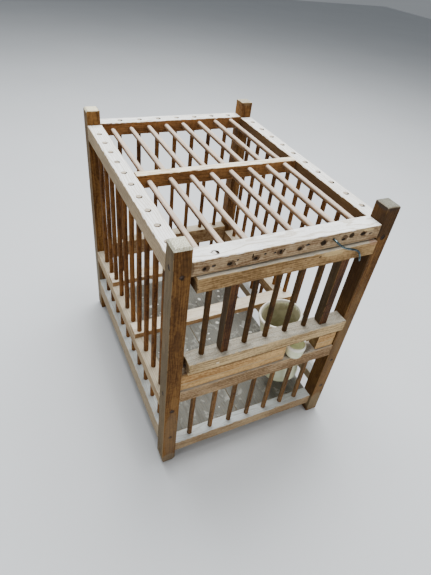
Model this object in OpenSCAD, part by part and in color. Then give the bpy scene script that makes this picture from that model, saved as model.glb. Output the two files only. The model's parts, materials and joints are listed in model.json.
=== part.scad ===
// Wooden finch cage: four corner posts, three rings of rails, turned bars,
// a drop-down front door, a wire hook and a hanging stoneware feeder.
// Millimetres. Z is up, the door side faces -Y. Built from the front left
// corner of the frame, then moved so that the box centre is over the origin.

/* [Frame] */
// width over the posts, left to right
frame_w = 229.5; // [200:0.5:300]
// depth over the posts, front to back
frame_d = 313.3; // [250:0.1:400]
// post size across
post_w = 16.2; // [12:0.1:24]
// post size front to back
post_d = 17.7; // [12:0.1:24]
// height of the front left post
post_h_fl = 318.8; // [280:0.1:360]
// height of the front right post
post_h_fr = 324.5; // [280:0.1:360]
// height of the back left post
post_h_bl = 321.7; // [280:0.1:360]
// height of the back right post
post_h_br = 324.2; // [280:0.1:360]

/* [Bars] */
// radius of the upright bars
bar_r = 3.0; // [2:0.1:4]
// radius of the top bars
top_bar_r = 3.2; // [2:0.1:4]
// number of bars in each side
side_bars = 10; // [6:1:12]
// number of bars in the back and below the front rail
back_bars = 7; // [5:1:9]
// number of bars in the top
top_bars = 8; // [5:1:9]

/* [Door] */
// left end of the door rails
door_x0 = 20.5; // [18:0.1:24]
// right end of the door rails
door_x1 = 213.0; // [205:0.1:213.1]
// height of the door's turning line
door_axis_z = 173; // [170:0.5:176]
// distance of the turning line behind the frame's front
door_axis_y = 3.5; // [2:0.1:5]
// radius of the pins that the door turns on
pin_r = 1.5; // [1:0.1:2]

/* [Hook] */
// radius of the hook's wire
wire_r = 1.1; // [0.8:0.1:1.5]
// place of the hook across the front rail
hook_x = 157; // [150:0.5:165]
// height of the hook's shank
hook_z = 300; // [296:0.5:301]

/* [Feeder] */
// outer radius of the feeder's rim
cup_r = 26.5; // [20:0.5:30]
// height of the feeder's body along its own middle
cup_h = 102; // [80:1:110]
// radius of the drinking bowl
bowl_r = 11.5; // [9:0.1:14]

/* [Hidden] */
$fn = 48;
e = 0.05;
gap = 0.04;
ox = 115.1;
oy = 153.17;
tl = 5;
tt = 6;
nail_r = 0.9;
nail_l = 25;
head_r = 1.8;

// rail heights as [bottom, top]
z_top_front = [289.6, 304.8];
z_top_back = [289, 305];
z_top_side = [285, 303.5];
z_cross = [289.5, 304.5];
z_mid_front = [118, 136];
z_mid_back = [98, 124];
z_mid_side = [98, 114];
z_low_end = [15.5, 32];
z_low_left = [32, 60];
z_low_right = [50, 63.5];

// rail places as [near face, far face], Y for the cross-wise rails
y_top_front = [0, 19];
y_top_back = [296, 312.5];
y_cross = [151, 161];
y_mid_front = [0, 17];
y_mid_back = [296, 312];
y_low_front = [3.5, 22.5];
y_low_back = [291, 310];

// X for the rails that run front to back
x_top_left = [0, 17.7];
x_top_right = [213.6, 230.2];
x_mid_left = [0, 15.6];
x_mid_right = [213.9, 229.5];
x_low_left = [0, 16];
x_low_right = [213.5, 229.5];

x_in0 = post_w;
x_in1 = frame_w - post_w;
y_in0 = post_d;
y_in1 = frame_d - post_d;

// tenon lines, measured in from the outside of the frame
ten_y = 5.7;
ten_x = 5.1;
nail_y = 8.7;
nail_x = 8.1;
nail_z_top = 290;
nail_z_mid = 106;
nail_z_low = [55.5, 55];

bar_x_left = 7.6;
bar_x_right = 222.6;
bar_y_back = 305;
bar_y_low = 11.5;

function left_bar_y(i) = 34.2 + 26 * i;
function right_bar_y(i) = 41.5 + 26.3 * i;
function back_bar_x(i) = 42 + 25.7 * i;
low_bar_x = [38.4, 65.8, 91.6, 117.2, 142.8, 168.2, 191];
function top_bar_x(i) = 31.2 + 23.8 * i;
function top_bar_z(i) = 295.6 + 0.62 * i;

z_slat = [114, 121.5];
y_slat_near = [107.5, 127.5];
y_slat_far = [210, 230.5];

sill_z = [136, 161.5];
sill_y = [2, 15];
sill_left_x = [16.6, 143];
sill_right_x = [188, 213];
sill_nails = [55, 130, 204];

// the front rail and the door's top rail both climb a little to the right
rail_tilt = 0.7;
door_tilt = 0.5;
function door_under(x) = door_top_z[0] + (x - (door_x0 + door_x1) / 2) * tan(door_tilt);
peg_at = [39.1, 8, 303.6];

floor_z = [26, 32];
floor_y = [17.9, 295.4];
floor_seam = 108;
floor_x = [4, 213];
floor_side_nails = [73.2, 151.2, 229.2];
floor_end_nails = [52, 130, 180];

door_top_y = [-3, 12];
door_top_z = [272.45, 288.25];
door_low_y = [-5, 13.5];
door_low_z = [167, 182];
door_bar_x = [38, 86.5, 111.5, 136, 161];
door_bar_y = 6.5;
stile_x = [56.2, 178.1];
stile_w = [8.3, 10];
stile_y = [0, 11];

cup_top = [163, 49, 161];
cup_tilt = [-4.6, -9.5, 0];
bowl_at = [158.5, 4.6, 136.4];
bowl_h = 18.8;

wood = "#9c7a52";
pale = "#c9b596";
dark = "#6e4d2e";

// ---- small helpers ----

module at_origin() {
  translate([-ox, -oy, 0]) children();
}

module block(x, y, z) {
  translate([x[0], y[0], z[0]]) cube([x[1] - x[0], y[1] - y[0], z[1] - z[0]]);
}

module along_x(p, r, l) {
  translate(p) rotate([0, 90, 0]) cylinder(r = r, h = l);
}

module along_y(p, r, l) {
  translate(p) rotate([-90, 0, 0]) cylinder(r = r, h = l);
}

module up(p, r, l) {
  translate(p) cylinder(r = r, h = l);
}

// a block with its four long edges broken by a small flat
module eased_x(x, y, z, c) {
  y0 = y[0];
  y1 = y[1];
  z0 = z[0];
  z1 = z[1];
  translate([x[0], 0, 0])
    rotate([90, 0, 90])
      linear_extrude(x[1] - x[0])
        polygon([[y0 + c, z0], [y1 - c, z0], [y1, z0 + c], [y1, z1 - c],
                 [y1 - c, z1], [y0 + c, z1], [y0, z1 - c], [y0, z0 + c]]);
}

module eased_y(x, y, z, c) {
  x0 = x[0];
  x1 = x[1];
  z0 = z[0];
  z1 = z[1];
  translate([0, y[1], 0])
    rotate([90, 0, 0])
      linear_extrude(y[1] - y[0])
        polygon([[x0 + c, z0], [x1 - c, z0], [x1, z0 + c], [x1, z1 - c],
                 [x1 - c, z1], [x0 + c, z1], [x0, z1 - c], [x0, z0 + c]]);
}

// turns a rail about the middle of its length, lifting its right end
module tilted(x, z, a) {
  mid = [(x[0] + x[1]) / 2, 0, (z[0] + z[1]) / 2];
  translate(mid) rotate([0, -a, 0]) translate(-mid) children();
}

// nail with its head let in flush, pointing along +X, +Y or +Z
module nail(l) {
  translate([0, 0, 0.4]) cylinder(r = nail_r, h = l);
  translate([0, 0, 0.3]) cylinder(r = head_r, h = 0.9);
}

module nail_hole(l) {
  translate([0, 0, -1]) cylinder(r = nail_r + gap, h = l + 1.4 + e);
  translate([0, 0, -1]) cylinder(r = head_r + gap, h = 2.2 + gap);
}

// ---- frame nails, as places for both the nails and their holes ----

module x_nail_places(mid_z, top_z) {
  for (z = [top_z, mid_z, z_low_end[0] + 4.5])
    translate([0, nail_y, z]) rotate([0, 90, 0]) children();
}

module y_nail_places(low_z) {
  for (z = [nail_z_top, nail_z_mid, low_z])
    translate([nail_x, 0, z]) rotate([-90, 0, 0]) children();
}

module corner_nails(mid_z, top_z, low_z) {
  x_nail_places(mid_z, top_z) children();
  y_nail_places(low_z) children();
}

module corner(sx, sy) {
  translate([sx ? frame_w : 0, sy ? frame_d : 0, 0])
    mirror([sx ? 1 : 0, 0, 0])
      mirror([0, sy ? 1 : 0, 0])
        children();
}

module all_corner_nails() {
  for (sx = [0, 1]) {
    corner(sx, 0) corner_nails(131, 296.4, nail_z_low[sx]) children();
    corner(sx, 1) corner_nails(111, 297, nail_z_low[sx]) children();
  }
}

module sill_nail_places() {
  for (x = sill_nails)
    translate([x, 8.5, sill_z[1]]) rotate([180, 0, 0]) children();
}

module side_floor_nails() {
  for (y = floor_side_nails)
    translate([8, y, floor_z[0]]) children();
}

module end_floor_nails() {
  for (x = floor_end_nails)
    for (y = [y_low_front[1] - 2.2, y_low_back[0] + 2.2])
      translate([x, y, z_low_end[0]]) children();
}

// ---- posts ----

module post_blank(h, top_c, in) {
  foot = 3.75 * in;
  intersection() {
    translate([0, post_d, 0])
      rotate([90, 0, 0])
        linear_extrude(post_d)
          polygon([[in, 0], [post_w - in, 0], [post_w, foot], [post_w, h - top_c],
                   [post_w - top_c, h - 0.4], [post_w / 2, h],
                   [top_c, h - 0.5], [0, h - top_c - 0.8], [0, foot]]);
    rotate([90, 0, 90])
      linear_extrude(post_w)
        polygon([[in, 0], [post_d - in, 0], [post_d, foot], [post_d, h - top_c],
                 [post_d - top_c, h - 0.2], [post_d / 2, h],
                 [top_c + 0.4, h - 0.6], [0, h - top_c - 1], [0, foot]]);
  }
}

module mortise_x(z) {
  block([post_w - tl - e, post_w + 1], [ten_y - gap, ten_y + tt + gap],
        [z[0] + 2 - gap, z[1] - 2 + gap]);
}

module mortise_y(z) {
  block([ten_x - gap, ten_x + tt + gap], [post_d - tl - e, post_d + 1],
        [z[0] + 2 - gap, z[1] - 2 + gap]);
}

module post(h, top_c, foot_in, top_rail, mid_rail, low_rail, nails, pinned) {
  difference() {
    post_blank(h, top_c, foot_in);
    mortise_x(top_rail);
    mortise_x(mid_rail);
    mortise_x(z_low_end);
    mortise_y(z_top_side);
    mortise_y(z_mid_side);
    mortise_y(low_rail);
    corner_nails(nails[0], nails[1], nails[2]) nail_hole(nail_l);
    if (pinned)
      along_x([7 - e, door_axis_y, door_axis_z], pin_r + gap, post_w);
  }
}

module post_front_left() {
  color(wood) at_origin() corner(0, 0)
    post(post_h_fl, 1.6, 2.4, z_top_front, z_mid_front, z_low_left,
         [131, 296.4, nail_z_low[0]], true);
}

module post_front_right() {
  color(wood) at_origin() corner(1, 0)
    post(post_h_fr, 1.0, 0.6, z_top_front, z_mid_front, z_low_right,
         [131, 296.4, nail_z_low[1]], true);
}

module post_back_left() {
  color(wood) at_origin() corner(0, 1)
    post(post_h_bl, 1.8, 0.6, z_top_back, z_mid_back, z_low_left,
         [111, 297, nail_z_low[0]], false);
}

module post_back_right() {
  color(wood) at_origin() corner(1, 1)
    post(post_h_br, 1.2, 0.6, z_top_back, z_mid_back, z_low_right,
         [111, 297, nail_z_low[1]], false);
}

// ---- rails across the cage ----

module x_tenons(y, z) {
  block([x_in0 - tl, x_in1 + tl], [y, y + tt], [z[0] + 2, z[1] - 2]);
}

module rail_top_front() {
  color(pale) at_origin()
    difference() {
      union() {
        intersection() {
          tilted([x_in0, x_in1], z_top_front, rail_tilt)
            eased_x([x_in0 - 2, x_in1 + 2], y_top_front, z_top_front, 0.6);
          block([x_in0, x_in1], [-5, 40], [270, 320]);
        }
        x_tenons(ten_y, z_top_front);
      }
      for (i = [0 : top_bars - 1])
        along_y([top_bar_x(i), -1, top_bar_z(i)], 2.6 + gap, 30);
      all_corner_nails() nail_hole(nail_l);
      along_y([hook_x, -1, hook_z], wire_r + 0.05, 12 + e);
      up([peg_at[0], peg_at[1], peg_at[2] - 5 - e], 3, 10);
    }
}

module rail_top_back() {
  color(pale) at_origin()
    difference() {
      union() {
        eased_x([x_in0, x_in1], y_top_back, z_top_back, 0.6);
        x_tenons(frame_d - ten_y - tt, z_top_back);
      }
      for (i = [0 : top_bars - 1])
        along_y([top_bar_x(i), y_top_back[0] - 1, top_bar_z(i)], top_bar_r + gap, 5 + e);
      for (i = [0 : back_bars - 1])
        up([back_bar_x(i), bar_y_back, z_top_back[0] - 1], bar_r + gap, 30);
      all_corner_nails() nail_hole(nail_l);
    }
}

module rail_top_cross() {
  y0 = y_cross[0];
  color(pale) at_origin()
    difference() {
      union() {
        eased_x([x_top_left[1], x_top_right[0]], y_cross, z_cross, 0.5);
        block([x_top_left[1] - tl, x_top_right[0] + tl], [y0 + 2, y0 + 8],
              [z_cross[0] + 3, z_cross[1] - 4]);
      }
      for (i = [0 : top_bars - 1])
        along_y([top_bar_x(i), y0 - 1, top_bar_z(i)], top_bar_r + gap, 12);
    }
}

module rail_mid_front() {
  color(wood) at_origin()
    difference() {
      union() {
        eased_x([x_in0, x_in1], y_mid_front, z_mid_front, 0.6);
        x_tenons(ten_y, z_mid_front);
      }
      for (i = [0 : back_bars - 1])
        up([low_bar_x[i], bar_y_low, z_mid_front[0] - 1], bar_r + gap, 11 + e);
      all_corner_nails() nail_hole(nail_l);
      sill_nail_places() nail_hole(33);
    }
}

module rail_mid_back() {
  color(wood) at_origin()
    difference() {
      union() {
        eased_x([x_in0, x_in1], y_mid_back, z_mid_back, 0.6);
        x_tenons(frame_d - ten_y - tt, z_mid_back);
      }
      for (i = [0 : back_bars - 1])
        up([back_bar_x(i), bar_y_back, z_mid_back[0] - 1], bar_r + gap, 40);
      all_corner_nails() nail_hole(nail_l);
    }
}

module rail_low_front() {
  color(pale) at_origin()
    difference() {
      union() {
        eased_x([x_in0, x_in1], y_low_front, z_low_end, 0.6);
        x_tenons(ten_y, z_low_end);
      }
      for (i = [0 : back_bars - 1])
        up([low_bar_x[i], bar_y_low, z_low_end[1] - 10 - e], bar_r + gap, 20);
      block([0, frame_w], [floor_y[0] - 0.1, 40], [floor_z[0], 60]);
      all_corner_nails() nail_hole(nail_l);
      end_floor_nails() nail_hole(14);
    }
}

module rail_low_back() {
  color(pale) at_origin()
    difference() {
      union() {
        eased_x([x_in0, x_in1], y_low_back, z_low_end, 0.6);
        x_tenons(frame_d - ten_y - tt, z_low_end);
      }
      for (i = [0 : back_bars - 1])
        up([back_bar_x(i), bar_y_back, z_low_end[1] - 10 - e], bar_r + gap, 20);
      block([0, frame_w], [280, floor_y[1] + 0.1], [floor_z[0], 60]);
      all_corner_nails() nail_hole(nail_l);
      end_floor_nails() nail_hole(14);
    }
}

// ---- rails from front to back ----

module y_tenons(x, z) {
  block([x, x + tt], [y_in0 - tl, y_in1 + tl], [z[0] + 2, z[1] - 2]);
}

module side_rail(x, z, ten, bar_x, left, bottom) {
  difference() {
    union() {
      eased_y(x, [y_in0, y_in1], z, 0.6);
      y_tenons(ten, z);
    }
    for (i = [0 : side_bars - 1])
      up([bar_x, left ? left_bar_y(i) : right_bar_y(i), bottom], bar_r + gap, 60);
    all_corner_nails() nail_hole(nail_l);
  }
}

module cross_mortise() {
  block([x_top_left[1] - tl - e, x_top_right[0] + tl + e],
        [y_cross[0] + 2 - gap, y_cross[0] + 8 + gap],
        [z_cross[0] + 3 - gap, z_cross[1] - 4 + gap]);
}

module rail_top_left() {
  color(pale) at_origin()
    difference() {
      side_rail(x_top_left, z_top_side, ten_x, bar_x_left, true, 250);
      cross_mortise();
      // the wider rail is notched round the end of the front rail
      block([x_in0 - gap, x_top_left[1] + 1], [y_in0 - 1, y_top_front[1] + gap], [280, 310]);
    }
}

module rail_top_right() {
  color(pale) at_origin()
    difference() {
      side_rail(x_top_right, z_top_side, frame_w - ten_x - tt, bar_x_right, false, 250);
      cross_mortise();
    }
}

module rail_mid_left() {
  color(wood) at_origin()
    side_rail(x_mid_left, z_mid_side, ten_x, bar_x_left, true, 80);
}

module rail_mid_right() {
  color(wood) at_origin()
    side_rail(x_mid_right, z_mid_side, frame_w - ten_x - tt, bar_x_right, false, 80);
}

module rail_low_left() {
  color(pale) at_origin()
    difference() {
      side_rail(x_low_left, z_low_left, ten_x, bar_x_left, true, z_low_left[1] - 10 - e);
      side_floor_nails() nail_hole(18);
    }
}

module rail_low_right() {
  color(pale) at_origin()
    side_rail(x_low_right, z_low_right, frame_w - ten_x - tt, bar_x_right, false,
              z_low_right[1] - 8 - e);
}

// ---- sill blocks, floor and cross slats ----

module sill(x) {
  difference() {
    eased_x(x, sill_y, sill_z, 0.5);
    // shallow groove along the front face
    along_x([x[0] - 1, sill_y[0] - 0.5, 145.5], 1.1, x[1] - x[0] + 2);
    sill_nail_places() nail_hole(33);
  }
}

module sill_left() {
  color(wood) at_origin() sill(sill_left_x);
}

module sill_right() {
  color(wood) at_origin() sill(sill_right_x);
}

module floor_part(x) {
  difference() {
    block(x, floor_y, floor_z);
    side_floor_nails() nail_hole(18);
    end_floor_nails() nail_hole(14);
  }
}

module floor_left() {
  color(pale) at_origin() floor_part([floor_x[0], floor_seam - 0.3]);
}

module floor_right() {
  color(pale) at_origin() floor_part([floor_seam + 0.3, floor_x[1]]);
}

module slat(y) {
  difference() {
    eased_x([0.4, 229.1], y, z_slat, 0.5);
    for (i = [0 : side_bars - 1]) {
      up([bar_x_left, left_bar_y(i), 100], bar_r + gap, 40);
      up([bar_x_right, right_bar_y(i), 100], bar_r + gap, 40);
    }
  }
}

module slat_near() {
  color(pale) at_origin() slat(y_slat_near);
}

module slat_far() {
  color(pale) at_origin() slat(y_slat_far);
}

// ---- bars ----

module top_bar(i) {
  color(pale) at_origin()
    translate([top_bar_x(i), 0.7, top_bar_z(i)])
      rotate([-90, 0, 0])
        rotate_extrude()
          polygon([[0, 0], [2.2, 0], [2.6, 0.5], [2.6, 19.5], [top_bar_r, 34],
                   [top_bar_r, 298.5], [2.7, 299.3], [0, 299.3]]);
}

// an upright bar, its upper end slightly domed
module bar(x, y, z0, z1) {
  translate([x, y, z0])
    rotate_extrude()
      polygon([[0, 0], [bar_r - 0.5, 0], [bar_r, 0.6], [bar_r, z1 - z0 - 0.8],
               [bar_r - 0.6, z1 - z0 - 0.2], [0, z1 - z0]]);
}

module bar_front(i) {
  color(dark) at_origin()
    bar(low_bar_x[i], bar_y_low, z_low_end[1] - 10, z_mid_front[0] + 10);
}

module bars_back() {
  color(dark) at_origin()
    for (i = [0 : back_bars - 1])
      bar(back_bar_x(i), bar_y_back, z_low_end[1] - 10, z_top_back[1] + 0.2);
}

module bars_left() {
  color(dark) at_origin()
    for (i = [0 : side_bars - 1])
      bar(bar_x_left, left_bar_y(i), z_low_left[1] - 10, z_top_side[1] + 0.3);
}

module bars_right() {
  color(dark) at_origin()
    for (i = [0 : side_bars - 1])
      bar(bar_x_right, right_bar_y(i), z_low_right[1] - 8, z_top_side[1] + 0.3);
}

// ---- door ----

module stile_holes() {
  for (i = [0, 1])
    translate([stile_x[i], stile_y[0], 0]) stile_tenon(i, gap);
}

module stile_tenon(i, g) {
  block([1 - g, stile_w[i] - 1 + g], [2 - g, 9 + g],
        [door_low_z[1] - 7 - g, door_top_z[0] + 6 + g]);
}

module door_bar_holes() {
  for (x = door_bar_x)
    up([x, door_bar_y, door_low_z[1] - 8 - e], bar_r + gap,
       door_top_z[0] - door_low_z[1] + 15 + 2 * e);
}

module door_rail_top() {
  color(wood) at_origin()
    difference() {
      tilted([door_x0, door_x1], door_top_z, door_tilt)
        eased_x([door_x0 + 0.7, door_x1 - 0.1], door_top_y, door_top_z, 0.7);
      door_bar_holes();
      stile_holes();
    }
}

module door_rail_bottom() {
  color(wood) at_origin()
    difference() {
      eased_x([door_x0, door_x1], door_low_y, door_low_z, 0.7);
      door_bar_holes();
      stile_holes();
      along_x([door_x0 - 1, door_axis_y, door_axis_z], pin_r + 0.06, 12);
      along_x([door_x1 - 11, door_axis_y, door_axis_z], pin_r + 0.06, 12);
    }
}

module stile(i) {
  z0 = door_low_z[1];
  color(dark) at_origin()
    translate([stile_x[i], stile_y[0], 0])
      difference() {
        union() {
          block([0, stile_w[i]], [0, stile_y[1]], [z0, door_under(stile_x[i])]);
          stile_tenon(i, 0);
        }
        // the back and left edges are cut away to the tenon at the foot
        translate([-5, stile_y[1] - 1.6, z0 - e]) rotate([-20, 0, 0]) cube([20, 8, 12]);
        translate([0.8, -5, z0 - 1.2]) rotate([0, -16, 0])
          translate([-8, 0, 0.8]) cube([8, 20, 9]);
      }
}

module door_bar(i) {
  color(dark) at_origin()
    bar(door_bar_x[i], door_bar_y, door_low_z[1] - 8, door_top_z[0] + 7);
}

module door_pins() {
  color("#77726a") at_origin() {
    along_x([7, door_axis_y, door_axis_z], pin_r, 23);
    along_x([frame_w - 7 - 20, door_axis_y, door_axis_z], pin_r, 20);
  }
}

// ---- hook ----

hook_route = [
  [0, -2.4, 0], [0, -3.9, 0], [0.5, -5.1, -0.3], [1.8, -5.7, -1.4],
  [4.5, -5.9, -3.6], [9, -5.9, -6.8], [14, -5.9, -9.3], [20, -5.9, -11.3],
  [26, -5.9, -13.2], [30.4, -5.9, -15.6], [33.6, -5.9, -19.2],
  [35.8, -5.9, -23.8], [37.2, -5.8, -28.6]
];

function unit(v) = v / norm(v);
function route_dir(p, i) =
  i == 0 ? unit(p[1] - p[0]) :
  i == len(p) - 1 ? unit(p[i] - p[i - 1]) :
  unit(unit(p[i + 1] - p[i]) + unit(p[i] - p[i - 1]));
function side_dir(d) = unit(cross(d, abs(d[1]) > 0.95 ? [0, 0, 1] : [0, 1, 0]));

// the frame is carried along the route so that the tube doesn't twist
function carry(p, i, s) =
  let (d = route_dir(p, i), t = unit(s - d * (s * d)))
  i == len(p) - 1 ? [t] : concat([t], carry(p, i + 1, t));

module wire(p, r, n) {
  s = carry(p, 0, side_dir(route_dir(p, 0)));
  m = len(p);
  pts = [for (i = [0 : m - 1])
    let (d = route_dir(p, i), a = s[i], b = cross(d, a))
    for (k = [0 : n - 1]) p[i] + r * (cos(360 * k / n) * a + sin(360 * k / n) * b)];
  side = [for (i = [0 : m - 2]) for (k = [0 : n - 1])
    [i * n + k, (i + 1) * n + k, (i + 1) * n + (k + 1) % n, i * n + (k + 1) % n]];
  first = [for (k = [0 : n - 1]) k];
  last = [for (k = [n - 1 : -1 : 0]) (m - 1) * n + k];
  polyhedron(points = pts, faces = concat(side, [first], [last]), convexity = 6);
}

module hook() {
  color("#6f7680") at_origin()
    translate([hook_x, 0, hook_z]) {
      along_y([0, -3.2, 0], wire_r, 14.1);
      wire(hook_route, wire_r - 0.04, 14);
    }
}

// ---- feeder ----

module cup_outer() {
  h = cup_h;
  r = cup_r;
  rotate_extrude($fn = 96)
    polygon([[0, 0], [22.6, 0], [24, 2], [24.8, 45], [25, 74],
             [r - 0.9, h - 9], [r, h - 4], [r - 0.4, h - 1], [r - 1.6, h], [0, h]]);
}

module cup_inner() {
  h = cup_h;
  r = cup_r;
  rotate_extrude($fn = 96)
    polygon([[0, 4.5], [18.5, 4.5], [20.8, 8], [21.2, 75],
             [r - 4.2, h - 8], [r - 2.6, h + 1], [0, h + 1]]);
}

module bowl_outer() {
  r = bowl_r;
  translate(bowl_at)
    rotate_extrude($fn = 72)
      polygon([[0, 0], [7.4, 0], [9.6, 2.4], [10.4, 5.2], [10.1, 6.4],
               [10.9, 9.2], [10.6, 10.4], [r, 14.2],
               [r, bowl_h - 1.6], [r - 1, bowl_h], [0, bowl_h]]);
}

module bowl_inner() {
  r = bowl_r;
  translate(bowl_at)
    rotate_extrude($fn = 72)
      polygon([[0, 2.8], [5.4, 2.8], [8, 6], [r - 2.2, bowl_h - 3],
               [r - 1.8, bowl_h + 1], [0, bowl_h + 1]]);
}

module feeder_cup() {
  color("#cdd0a8") at_origin()
    difference() {
      union() {
        translate(cup_top) rotate(cup_tilt) translate([0, 0, -cup_h]) cup_outer();
        bowl_outer();
        along_y([bowl_at[0], bowl_at[1], 145.8], 8, 26);
      }
      translate(cup_top) rotate(cup_tilt) translate([0, 0, -cup_h]) cup_inner();
      bowl_inner();
      along_y([bowl_at[0], bowl_at[1], 145.8], 4.5, 36);
    }
}

// ---- nails ----

module frame_nails() {
  color("#5d5650") at_origin() {
    all_corner_nails() nail(nail_l);
    sill_nail_places() nail(33);
    side_floor_nails() nail(18);
    end_floor_nails() nail(14);
  }
}

// short peg let into the top of the front rail
module peg_front() {
  color(wood) at_origin()
    translate([peg_at[0], peg_at[1], peg_at[2] - 5]) cylinder(r1 = 2.8, r2 = 2.7, h = 5);
}

post_front_left();
post_front_right();
post_back_left();
post_back_right();
rail_top_front();
rail_top_back();
rail_top_left();
rail_top_right();
rail_top_cross();
rail_mid_front();
rail_mid_back();
rail_mid_left();
rail_mid_right();
rail_low_front();
rail_low_back();
rail_low_left();
rail_low_right();
sill_left();
sill_right();
floor_left();
floor_right();
slat_near();
slat_far();
top_bar(0);  // bar_top_1
top_bar(1);  // bar_top_2
top_bar(2);  // bar_top_3
top_bar(3);  // bar_top_4
top_bar(4);  // bar_top_5
top_bar(5);  // bar_top_6
top_bar(6);  // bar_top_7
top_bar(7);  // bar_top_8
bar_front(0);  // bar_front_1
bar_front(1);  // bar_front_2
bar_front(2);  // bar_front_3
bar_front(3);  // bar_front_4
bar_front(4);  // bar_front_5
bar_front(5);  // bar_front_6
bar_front(6);  // bar_front_7
bars_back();
bars_left();
bars_right();
door_rail_top();
door_rail_bottom();
stile(0);  // door_stile_left
stile(1);  // door_stile_right
door_bar(0);  // door_bar_1
door_bar(1);  // door_bar_2
door_bar(2);  // door_bar_3
door_bar(3);  // door_bar_4
door_bar(4);  // door_bar_5
door_pins();
hook();
feeder_cup();
frame_nails();
peg_front();
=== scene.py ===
"""Looks for a small weathered wooden finch cage: worn boards, whittled bars, a wire hook and a glazed feeder.

Every board is made from its CAD node's own shape, with its edges worn and chipped. Lengths are in metres.
"""

import json
import math
import random

import bmesh
import bpy
from mathutils import Matrix, Vector, noise
from mathutils.bvhtree import BVHTree

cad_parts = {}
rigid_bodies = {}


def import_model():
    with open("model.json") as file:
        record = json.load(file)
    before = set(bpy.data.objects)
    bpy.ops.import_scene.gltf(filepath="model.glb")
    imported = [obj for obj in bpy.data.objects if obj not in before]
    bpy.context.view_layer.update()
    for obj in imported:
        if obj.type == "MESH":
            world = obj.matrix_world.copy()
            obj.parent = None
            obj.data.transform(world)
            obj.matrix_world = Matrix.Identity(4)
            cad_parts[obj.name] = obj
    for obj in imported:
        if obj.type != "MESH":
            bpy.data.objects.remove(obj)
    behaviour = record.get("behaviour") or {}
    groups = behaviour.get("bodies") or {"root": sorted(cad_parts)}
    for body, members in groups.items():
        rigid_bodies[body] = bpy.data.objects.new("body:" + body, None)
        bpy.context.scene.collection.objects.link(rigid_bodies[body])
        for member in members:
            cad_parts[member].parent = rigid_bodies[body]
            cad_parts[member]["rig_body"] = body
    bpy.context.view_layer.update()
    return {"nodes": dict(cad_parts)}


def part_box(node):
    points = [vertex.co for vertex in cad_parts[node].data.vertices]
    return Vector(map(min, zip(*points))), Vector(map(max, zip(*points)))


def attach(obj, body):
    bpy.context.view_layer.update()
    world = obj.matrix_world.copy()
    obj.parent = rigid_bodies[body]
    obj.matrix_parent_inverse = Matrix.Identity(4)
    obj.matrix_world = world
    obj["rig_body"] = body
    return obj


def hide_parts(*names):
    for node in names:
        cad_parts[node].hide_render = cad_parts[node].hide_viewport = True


scene = bpy.context.scene
for name in ("Cube", "Light", "Camera"):
    if name in bpy.data.objects:
        bpy.data.objects.remove(bpy.data.objects[name])

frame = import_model()
nodes = frame["nodes"]
body_of_node = {n: o["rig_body"] for n, o in nodes.items()}

MM = 0.001
OX, OY = 115.1, 153.17  # the middle of the base, in millimetres from the frame's front left corner


# ---------------------------------------------------------------- camera and light

EYE = Vector((-0.2193, -0.4021, 0.5097))
AIM = Vector((-0.0071, -0.0361, 0.1600))
ROLL = math.radians(7.99)
FOCAL_PX, LONG_SIDE_PX, SENSOR = 436.6, 575, 36.0

camera = bpy.data.objects.new("camera", bpy.data.cameras.new("camera"))
scene.collection.objects.link(camera)
camera.data.sensor_width = SENSOR
camera.data.lens = FOCAL_PX / LONG_SIDE_PX * SENSOR
camera.data.clip_start, camera.data.clip_end = 0.01, 20
turn = (AIM - EYE).to_track_quat("-Z", "Y").to_matrix().to_4x4()
camera.matrix_world = Matrix.Translation(EYE) @ turn @ Matrix.Rotation(ROLL, 4, "Z")
scene.camera = camera


def srgb(r, g, b):
    """A colour given as 0 to 255 screen values, as linear RGBA."""
    out = []
    for c in (r, g, b):
        c /= 255
        out.append(c / 12.92 if c <= 0.04045 else ((c + 0.055) / 1.055) ** 2.4)
    return (*out, 1.0)


def area_light(name, place, aim, size, watts, colour):
    lamp = bpy.data.lights.new(name, "AREA")
    lamp.shape = "DISK"
    lamp.size = size
    lamp.energy = watts
    lamp.color = colour
    o = bpy.data.objects.new(name, lamp)
    scene.collection.objects.link(o)
    place, aim = Vector(place), Vector(aim)
    o.matrix_world = (
        Matrix.Translation(place) @ (aim - place).to_track_quat("-Z", "Y").to_matrix().to_4x4()
    )


area_light("sky", (0.2, 0.35, 1.6), (0, 0, 0.1), 1.5, 64, (0.95, 0.98, 1.0))
area_light("left", (-1.3, -0.5, 0.9), (0, 0, 0.15), 1.0, 4.5, (1.0, 0.98, 0.95))
area_light("front", (0.5, -1.4, 0.8), (0, 0, 0.15), 1.2, 5.4, (1.0, 0.97, 0.93))

world = bpy.data.worlds.new("world")
world.use_nodes = True
world.node_tree.nodes["Background"].inputs[0].default_value = (0.80, 0.86, 0.92, 1)
world.node_tree.nodes["Background"].inputs[1].default_value = 0.30
scene.world = world


# ---------------------------------------------------------------- node helpers


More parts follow.
